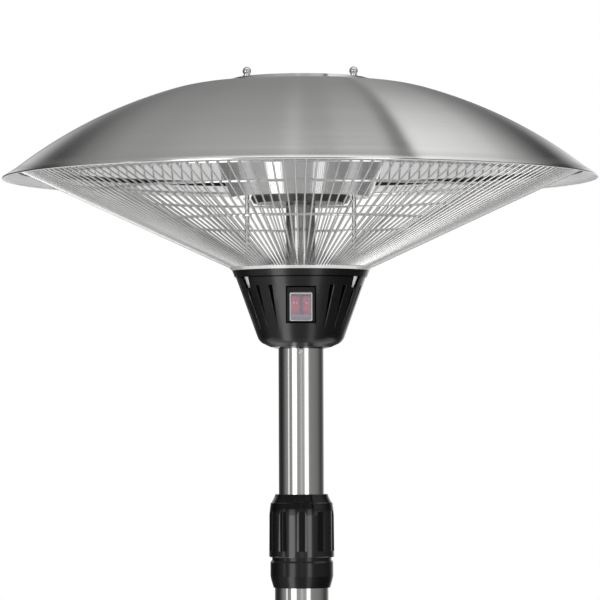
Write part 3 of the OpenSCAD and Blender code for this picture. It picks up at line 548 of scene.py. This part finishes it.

# ---------------------------------------------------------------------------------------------
# Centre post and pan. The post carries the sleeved wires up to the drum, and a shallow pressed
# pan round its head closes the hole.
# The pan's steel is coloured near black: painted shade for the pan's underside in the shadow of the
# drum.
pan_steel = turned_steel(
    "pan_steel_painted_shade", (0.09, 0.088, 0.085), (0.20, 0.195, 0.19), (0.22, 0.36),
    rings=400, levels=300, grip=0.3,
)
# The post's steel is a darker copy of the tube's polished steel: painted shade for the post where it
# stands inside the guard under the drum.
shaded_post_steel = long_steel("post_steel_painted_shade", (0.36, 0.36, 0.355), (0.50, 0.50, 0.49), (0.04, 0.09))
keep("post_pan", pan_steel)
keep("center_post", shaded_post_steel)

# Fine even texture of a moulded, cast or fired surface, with slow patches of its own
textured, given, found = grain_group("cast_texture", Scale=900.0, Patch_Scale=18.0)
speckle = noise(object_place(textured), given["Scale"], 3)
slow_patches = noise(object_place(textured), given["Patch Scale"], 5)
feed(found["Tone"], mixed(0.6, speckle, slow_patches))
feed(found["Height"], speckle)


def moulded(name, dark, light, rough, scale, patches, depth, metallic=0.0, **sockets):
    """A moulded, cast, fired or painted surface with an even texture."""
    material, surface = shade(name, light, rough[0], metallic, **sockets)
    grain = add_group(surface, textured, Scale=scale, Patch_Scale=patches)
    wear_grain(surface, grain, dark, light, rough, depth)
    return material


sleeving = moulded(
    "glass_sleeving", (0.60, 0.58, 0.52), (0.88, 0.86, 0.80), (0.75, 0.95),
    scale=2500, patches=60, depth=1e-4,
)
keep("supply_wires", sleeving)

# ---------------------------------------------------------------------------------------------
# Lamps. Three quartz tubes lie in a triangle round the drum, each with a coiled element on
# support rings, and hang by their ceramic ends in steel tabs that are welded to the dome.
quartz, surface = shade("quartz", (0.97, 0.975, 0.98), 0.0, 0.0, Transmission_Weight=1.0, IOR=1.46)
smears = add_group(surface, textured, Scale=300.0)
feed(surface.inputs["Roughness"], mixed(smears.outputs["Tone"], 0.0, 0.06))
keep("quartz_tubes", quartz)
lamp_lo, lamp_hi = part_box("quartz_tubes")
lamp_offset = 0.120
lamp_z = (lamp_lo[2] + lamp_hi[2]) / 2
element_half = 0.150
element_wire_radius = 0.00045
coil_radius = 0.0024
coil_turns, steps_per_turn = 96, 10
coil_steps = coil_turns * steps_per_turn
ring_count, ring_spacing = 7, 0.0443
ring_radius, ring_thick = 0.0038, 0.0005
along_lamp = Matrix.Rotation(math.radians(90), 4, "Y")
bm = bmesh.new()
bmesh.ops.create_circle(
    bm, segments=6, radius=element_wire_radius,
    matrix=Matrix.Translation((-element_half, coil_radius, 0)) @ along_lamp,
)
bmesh.ops.spin(
    bm, geom=bm.verts[:] + bm.edges[:], axis=(1, 0, 0), cent=(0, 0, 0),
    dvec=(2 * element_half / coil_steps, 0, 0), angle=2 * math.pi * coil_turns, steps=coil_steps,
)
bmesh.ops.holes_fill(bm, edges=[edge for edge in bm.edges if edge.is_boundary], sides=6)


def verts_of(made):
    """The vertices in what a bmesh operator made."""
    return [part for part in made["geom"] if isinstance(part, bmesh.types.BMVert)]


for i in range(ring_count):
    ring_x = (i - ring_count // 2) * ring_spacing
    ring = bmesh.ops.create_circle(
        bm, cap_ends=True, segments=20, radius=ring_radius,
        matrix=Matrix.Translation((ring_x, 0, 0)) @ along_lamp,
    )
    thick = bmesh.ops.extrude_face_region(bm, geom=list(ring["verts"][0].link_faces))
    bmesh.ops.translate(bm, verts=verts_of(thick), vec=(ring_thick, 0, 0))
bmesh.ops.recalc_face_normals(bm, faces=bm.faces)
bmesh.ops.translate(bm, verts=bm.verts, vec=(0, -lamp_offset, lamp_z))
first = bm.verts[:] + bm.edges[:] + bm.faces[:]
for degrees in (120, 240):
    copied = bmesh.ops.duplicate(bm, geom=first)
    turn_to = Matrix.Rotation(math.radians(degrees), 3, "Z")
    bmesh.ops.rotate(bm, verts=verts_of(copied), cent=(0, 0, 0), matrix=turn_to)
element_wire = moulded(
    "element_wire", (0.20, 0.15, 0.12), (0.42, 0.34, 0.28), (0.35, 0.55),
    scale=1500, patches=40, depth=2e-5, metallic=0.9,
)
piece_from(bm, "heating_elements", "mast", element_wire, ["lamp_filaments"])
ceramic = moulded(
    "ceramic", (0.70, 0.67, 0.60), (0.86, 0.84, 0.78), (0.45, 0.65),
    scale=1400, patches=30, depth=4e-5,
)
keep("lamp_ends", ceramic)
keep("lamp_terminals", ceramic)
keep("lamp_brackets", plated_steel)
keep("lamp_leads", sleeving)

# ---------------------------------------------------------------------------------------------
# Guard. Straight polished wires fan out from a base ring to the dome, and three hoops are spot
# welded across them on the inside. The ring is a brushed one that sits on the housing.
guard_steel = moulded(
    "guard_wire_steel", (0.70, 0.70, 0.69), (0.88, 0.88, 0.87), (0.10, 0.20),
    scale=700, patches=25, depth=1e-5, metallic=1.0,
)
# The base ring's steel is made near white and half diffuse so that it shows a bright band all round: a
# painted highlight on pale brushed steel.
ring_steel = turned_steel(
    "base_ring_steel_painted_highlight", (0.90, 0.90, 0.90), (0.97, 0.97, 0.97), (0.22, 0.32),
    rings=1500, levels=900, grip=0.5, metallic=0.5,
)
keep("guard_wires", guard_steel)
keep("guard_hoops", guard_steel)
keep("guard_base_ring", ring_steel)

# ---------------------------------------------------------------------------------------------
# Shadow line. A thin black ring inside the dome above the ends of the guard's wires: a painted shadow
# line where the guard meets the crease. It is sunk a little into the sheet, so its back sits against
# it.
shadow_line_black = moulded(
    "shadow_line_black", (0.006, 0.006, 0.006), (0.014, 0.014, 0.014), (0.5, 0.7),
    scale=1500, patches=40, depth=4e-5,
)
bead_radius, bead_thick = 0.3108, 0.0017
bead_press = 0.97
bead_seat = dome_radius - sheet - bead_press * bead_thick
bead_z = dome_centre_z + math.sqrt(bead_seat**2 - bead_radius**2)
bm = bmesh.new()
bmesh.ops.create_circle(
    bm, segments=12, radius=bead_thick,
    matrix=Matrix.Translation((bead_radius, 0, bead_z)) @ Matrix.Rotation(math.radians(90), 4, "X"),
)
bmesh.ops.spin(
    bm, geom=bm.verts[:] + bm.edges[:], axis=(0, 0, 1), cent=(0, 0, 0), angle=2 * math.pi,
    steps=180, use_merge=True, use_duplicate=False,
)
bmesh.ops.recalc_face_normals(bm, faces=bm.faces)
piece_from(bm, "dome_shadow_line", "mast", shadow_line_black)

# ---------------------------------------------------------------------------------------------
# Control housing. A black moulded cone with flutes round its wall and three vent windows, each
# with a bright plate behind it. A steel plate with three screws closes its top, over the tilt
# cut-out and the wires' terminal block.
housing_coat = 0.3
housing_black = moulded(
    "housing_black", (0.0030, 0.0030, 0.0032), (0.0065, 0.0065, 0.0068), (0.20, 0.32),
    scale=2200, patches=14, depth=1.5e-5,
    Coat_Weight=housing_coat, Coat_Roughness=0.14, Specular_IOR_Level=0.45,
)
painted_hollow_shade = (0.0012, 0.0012, 0.0012)
slope = math.radians(19.8)
housing_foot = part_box("control_housing")[0][2]
band_radius, band_height, band_step = 0.072714, 0.080, 0.0792
switch_height = 0.0477
recess_half_x, recess_half_height = 0.0160, 0.0196
flute_depths = (0.0003, 0.0012)
flute_feet = (0.014, 0.020)
clear_of_recess = (0.0170, 0.0178)
step_line, step_share = (0.0010, 0.0004), 0.8
edge_line = (0.0010, 0.0005)
front_half = (0.01, -0.01)

# The flutes, the step under the band and the edge of the switch's recess get painted shade: there the
# colour goes to near black and the polish and coat are taken off, where light would hardly reach
surface = housing_black.node_tree.nodes["Principled BSDF"]
x, y, z = parts(object_place(housing_black.node_tree))
height = calculated("SUBTRACT", z, housing_foot)
beside = calculated("ABSOLUTE", x)
wall = calculated("MULTIPLY_ADD", height, math.tan(slope), band_radius - math.tan(slope) * band_height)
flutes = softly(calculated("SUBTRACT", wall, from_axis(x, y)), *flute_depths)
flutes = calculated("MULTIPLY", flutes, softly(height, *flute_feet))
flutes = calculated("MULTIPLY", flutes, softly(beside, *clear_of_recess))
from_step = calculated("ABSOLUTE", calculated("SUBTRACT", height, band_step))
step = calculated("MULTIPLY", softly(from_step, *step_line), step_share)
from_switch = calculated("ABSOLUTE", calculated("SUBTRACT", height, switch_height))
past_side = calculated("SUBTRACT", beside, recess_half_x)
past_end = calculated("SUBTRACT", from_switch, recess_half_height)
from_edge = calculated("ABSOLUTE", calculated("MAXIMUM", past_side, past_end))
recess_edge = calculated("MULTIPLY", softly(from_edge, *edge_line), softly(y, *front_half))
hollow_shade_mask = calculated("MAXIMUM", calculated("MAXIMUM", flutes, recess_edge), step)
polished = surface.inputs["Base Color"].links[0].from_socket
feed(surface.inputs["Base Color"], mixed(hollow_shade_mask, polished, painted_hollow_shade, "RGBA"))
feed(surface.inputs["Metallic"], mixed(hollow_shade_mask, 0.0, 1.0))
feed(surface.inputs["Coat Weight"], mixed(hollow_shade_mask, housing_coat, 0.0))

shield_steel = moulded(
    "bright_shield", (0.95, 0.95, 0.95), (1.0, 1.0, 1.0), (0.30, 0.45),
    scale=900, patches=60, depth=1e-5,
)
keep("control_housing", housing_black)
keep("window_shields", shield_steel)
for node in ("top_plate", "rod_nuts", "housing_screws"):
    keep(node, plated_steel)
for node in ("tip_switch", "terminal_block"):
    keep(node, sleeving)

# ---------------------------------------------------------------------------------------------
# Switch. Two red rockers in a black body that leans with the housing's wall, one with two pale
# raised pips and one with one.
moulded_black = moulded(
    "moulded_black", (0.0020, 0.0020, 0.0021), (0.0045, 0.0045, 0.0047), (0.18, 0.28),
    scale=2200, patches=14, depth=1.5e-5,
    Coat_Weight=0.3, Coat_Roughness=0.12, Specular_IOR_Level=0.35,
)
red_rocker = moulded(
    "red_rocker", (0.80, 0.020, 0.030), (0.98, 0.045, 0.055), (0.16, 0.28),
    scale=900, patches=40, depth=1e-5,
)
pip_white = moulded(
    "pip_white", (0.95, 0.94, 0.92), (1.0, 1.0, 1.0), (0.3, 0.45),
    scale=1500, patches=40, depth=1e-5,
)
keep("switch_body", moulded_black)
keep("rocker_left", red_rocker)
keep("rocker_right", red_rocker)
wall_radius = band_radius - math.tan(slope) * (band_height - switch_height)
switch_rise = -0.0028
recess_floor = -0.0032
rocker_x = 0.00615
rocker_lean = math.radians(8)
pivot_depth = recess_floor - 0.002
pip_radius, pip_flatness = 0.00115, 0.5
pip_half_spacing = 0.0019
pip_up_face, pip_seat = 0.0055, 0.00435
panel = (
    Matrix.Translation((0, -wall_radius, housing_foot + switch_height))
    @ Matrix.Rotation(math.radians(90) + slope, 4, "X")
    @ Matrix.Translation((0, switch_rise, 0))
)


def pips(name, body, rocker_x, across):
    """Round raised marks on a rocker's face, seated a little into it."""
    bm = bmesh.new()
    for x in across:
        made = bmesh.ops.create_uvsphere(bm, u_segments=20, v_segments=12, radius=pip_radius)
        bmesh.ops.scale(bm, vec=(1, 1, pip_flatness), verts=made["verts"])
        bmesh.ops.translate(bm, vec=(x, pip_up_face, pip_seat), verts=made["verts"])
    lean = Matrix.Rotation(rocker_lean, 3, "X")
    bmesh.ops.rotate(bm, verts=bm.verts, cent=(0, 0, 0), matrix=lean)
    bmesh.ops.translate(bm, vec=(rocker_x, 0, pivot_depth), verts=bm.verts)
    bmesh.ops.transform(bm, matrix=panel, verts=bm.verts)
    return piece_from(bm, name, body, pip_white)


pips("left_pips", "rocker_left", -rocker_x, (-pip_half_spacing, pip_half_spacing))
pips("right_pip", "rocker_right", rocker_x, (0.0,))

# ---------------------------------------------------------------------------------------------
# Switch cover. A soft clear membrane over the rockers, hazier below them, in a pale frame that
# is clipped round the switch's bezel.
frosting = (0.58, 0.53, 0.62)
haze_grey = (0.36, 0.36, 0.41)
least_cover, edge_cover, haze_cover = 0.27, 0.7, 0.70
haze_start, haze_full = housing_foot + 0.0410, housing_foot + 0.0320
cover_clear, surface = shade(
    "cover_clear", frosting, 0.10, 0.0, Alpha=least_cover, Coat_Weight=0.4, Coat_Roughness=0.1
)
smears = add_group(surface, textured, Scale=700.0)
feed(surface.inputs["Roughness"], mixed(smears.outputs["Tone"], 0.10, 0.30))
edge_view = surface.id_data.nodes.new("ShaderNodeLayerWeight")
edge_view.inputs["Blend"].default_value = 0.35
x, y, z = parts(object_place(surface.id_data))
haze = softly(z, haze_start, haze_full)
feed(surface.inputs["Base Color"], mixed(haze, frosting, haze_grey, "RGBA"))
cover = calculated("MAXIMUM", mixed(edge_view.outputs["Facing"], least_cover, edge_cover), haze)
feed(surface.inputs["Alpha"], calculated("MINIMUM", cover, haze_cover))

cover_half_x, cover_half_y = 0.0124, 0.0162
membrane_low, membrane_high = recess_floor + 0.0018, 0.0032
membrane_gap_x, membrane_gap_y = 0.0012, 0.0014
membrane_corner, membrane_edge, membrane_thick = 0.0022, 0.0016, 0.0005
border_low, border_high = recess_floor + 0.0001, 0.0001
border_corner, border_width, border_softening = 0.0012, 0.0013, 0.0003


def rounded_block(half_x, half_y, low, high, corner):
    """A new bmesh of a block with its upright corners rounded."""
    bm = bmesh.new()
    bmesh.ops.create_cube(bm, size=1)
    bmesh.ops.scale(bm, vec=(2 * half_x, 2 * half_y, high - low), verts=bm.verts)
    bmesh.ops.translate(bm, vec=(0, 0, (low + high) / 2), verts=bm.verts)
    upright = [e for e in bm.edges if abs(e.verts[0].co.z - e.verts[1].co.z) > 1e-5]
    bmesh.ops.bevel(
        bm, geom=upright, offset=corner, segments=4, profile=0.5, affect="EDGES", material=-1
    )
    return bm


def at_level(part, level):
    """Whether a face or an edge lies flat at a height."""
    return all(abs(v.co.z - level) < 1e-6 for v in part.verts)


bm = rounded_block(
    cover_half_x - membrane_gap_x, cover_half_y - membrane_gap_y, membrane_low, membrane_high,
    membrane_corner,
)
top_edges = [e for e in bm.edges if at_level(e, membrane_high)]
bmesh.ops.bevel(
    bm, geom=top_edges, offset=membrane_edge, segments=3, profile=0.5, affect="EDGES", material=-1
)
under = [face for face in bm.faces if at_level(face, membrane_low)]
bmesh.ops.delete(bm, geom=under, context="FACES_ONLY")
bmesh.ops.recalc_face_normals(bm, faces=bm.faces)
bmesh.ops.solidify(bm, geom=bm.faces[:], thickness=membrane_thick)
bmesh.ops.transform(bm, matrix=panel, verts=bm.verts)
piece_from(bm, "cover_membrane", "mast", cover_clear, ["switch_cover"])

frame_pale = moulded(
    "cover_frame_clear", (0.62, 0.62, 0.64), (0.80, 0.80, 0.82), (0.12, 0.22),
    scale=900, patches=60, depth=1e-5, Coat_Weight=0.5,
)
bm = rounded_block(cover_half_x, cover_half_y, border_low, border_high, border_corner)
flat = [face for face in bm.faces if abs(face.normal.z) > 0.95]
inner_edges = []
for face in flat:
    bmesh.ops.inset_region(bm, faces=[face], thickness=border_width)
    inner_edges += list(face.edges)
bmesh.ops.delete(bm, geom=flat, context="FACES_ONLY")
bmesh.ops.bridge_loops(bm, edges=inner_edges)
bmesh.ops.recalc_face_normals(bm, faces=bm.faces)
bmesh.ops.transform(bm, matrix=panel, verts=bm.verts)
cover_frame = piece_from(bm, "cover_frame", "mast", frame_pale)
soften = cover_frame.modifiers.new("soft_edges", "BEVEL")
soften.width = border_softening
soften.segments = 3
soften.limit_method = "ANGLE"

# ---------------------------------------------------------------------------------------------
# Upper pole. Welded stainless tube, polished along its length, with a plastic guide bush round
# its foot. One screw through the housing's spigot keeps the head from turning on it.
tube_steel = long_steel("polished_tube", (0.60, 0.60, 0.585), (0.76, 0.76, 0.745), (0.06, 0.13))
bush_plastic = moulded(
    "bush_plastic", (0.05, 0.05, 0.05), (0.10, 0.10, 0.10), (0.5, 0.7),
    scale=1500, patches=20, depth=4e-5,
)
keep("upper_pole", tube_steel)
keep("head_spigot", plated_steel)
keep("pole_screw", chrome)
keep("guide_bush", bush_plastic)

# ---------------------------------------------------------------------------------------------
# Clamp. A ribbed black nut that turns on the threaded sleeve under it and squeezes a split
# collet on to the upper pole. Its skirt covers the top of the lower pole.
grip_coat, valley_coat = 0.9, 0.2
grip_black = moulded(
    "grip_black", (0.0020, 0.0020, 0.0021), (0.0045, 0.0045, 0.0047), (0.12, 0.20),
    scale=2200, patches=14, depth=1.5e-5,
    Coat_Weight=grip_coat, Coat_Roughness=0.06, Specular_IOR_Level=0.30,
)
nut_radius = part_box("clamp_nut")[1][0]
rib_rise = 0.0014
valley_start, valley_floor = nut_radius - 0.0004, nut_radius - rib_rise + 0.0002
valley_shade_share = 0.75

# The valleys between the ribs get painted shade: their colour goes darker and their polish and coat are
# taken down
surface = grip_black.node_tree.nodes["Principled BSDF"]
x, y, z = parts(object_place(grip_black.node_tree))
valley_shade_mask = calculated("MULTIPLY", softly(from_axis(x, y), valley_start, valley_floor), valley_shade_share)
feed(surface.inputs["Metallic"], mixed(valley_shade_mask, 0.0, 1.0))
feed(surface.inputs["Coat Weight"], mixed(valley_shade_mask, grip_coat, valley_coat))
keep("clamp_nut", grip_black)
keep("clamp_collet", bush_plastic)
keep("clamp_sleeve", moulded_black)

# ---------------------------------------------------------------------------------------------
# Lower pole and its socket. The wider tube stands on a painted steel socket with four bolts
# into the weight and two screws through its wall.
socket_paint = moulded(
    "socket_paint", (0.10, 0.10, 0.10), (0.16, 0.16, 0.165), (0.35, 0.5),
    scale=700, patches=12, depth=5e-5,
)
keep("lower_pole", tube_steel)
keep("pole_socket", socket_paint)
keep("socket_bolts", plated_steel)
keep("socket_screws", chrome)

# ---------------------------------------------------------------------------------------------
# Base. A cast concrete weight on four rubber feet, dressed with a spun steel cover and a black
# collar where the pole goes in.
concrete = moulded(
    "cast_concrete", (0.26, 0.25, 0.235), (0.50, 0.49, 0.46), (0.8, 0.98),
    scale=420, patches=9, depth=4e-4,
)
cover_steel = turned_steel(
    "cover_steel", (0.62, 0.62, 0.61), (0.80, 0.80, 0.79), (0.16, 0.28),
    rings=1100, levels=500, grip=0.6,
)
rubber = moulded(
    "foot_rubber", (0.012, 0.012, 0.012), (0.045, 0.044, 0.042), (0.6, 0.85),
    scale=900, patches=30, depth=6e-5,
)
keep("base_weight", concrete)
keep("base_cover", cover_steel)
keep("cover_collar", moulded_black)
keep("base_feet", rubber)

# ---------------------------------------------------------------------------------------------
# Cable gland. A black nylon gland and its locknut at the back of the lower pole, for the
# supply cable.
keep("cable_gland", moulded_black)
keep("gland_locknut", moulded_black)
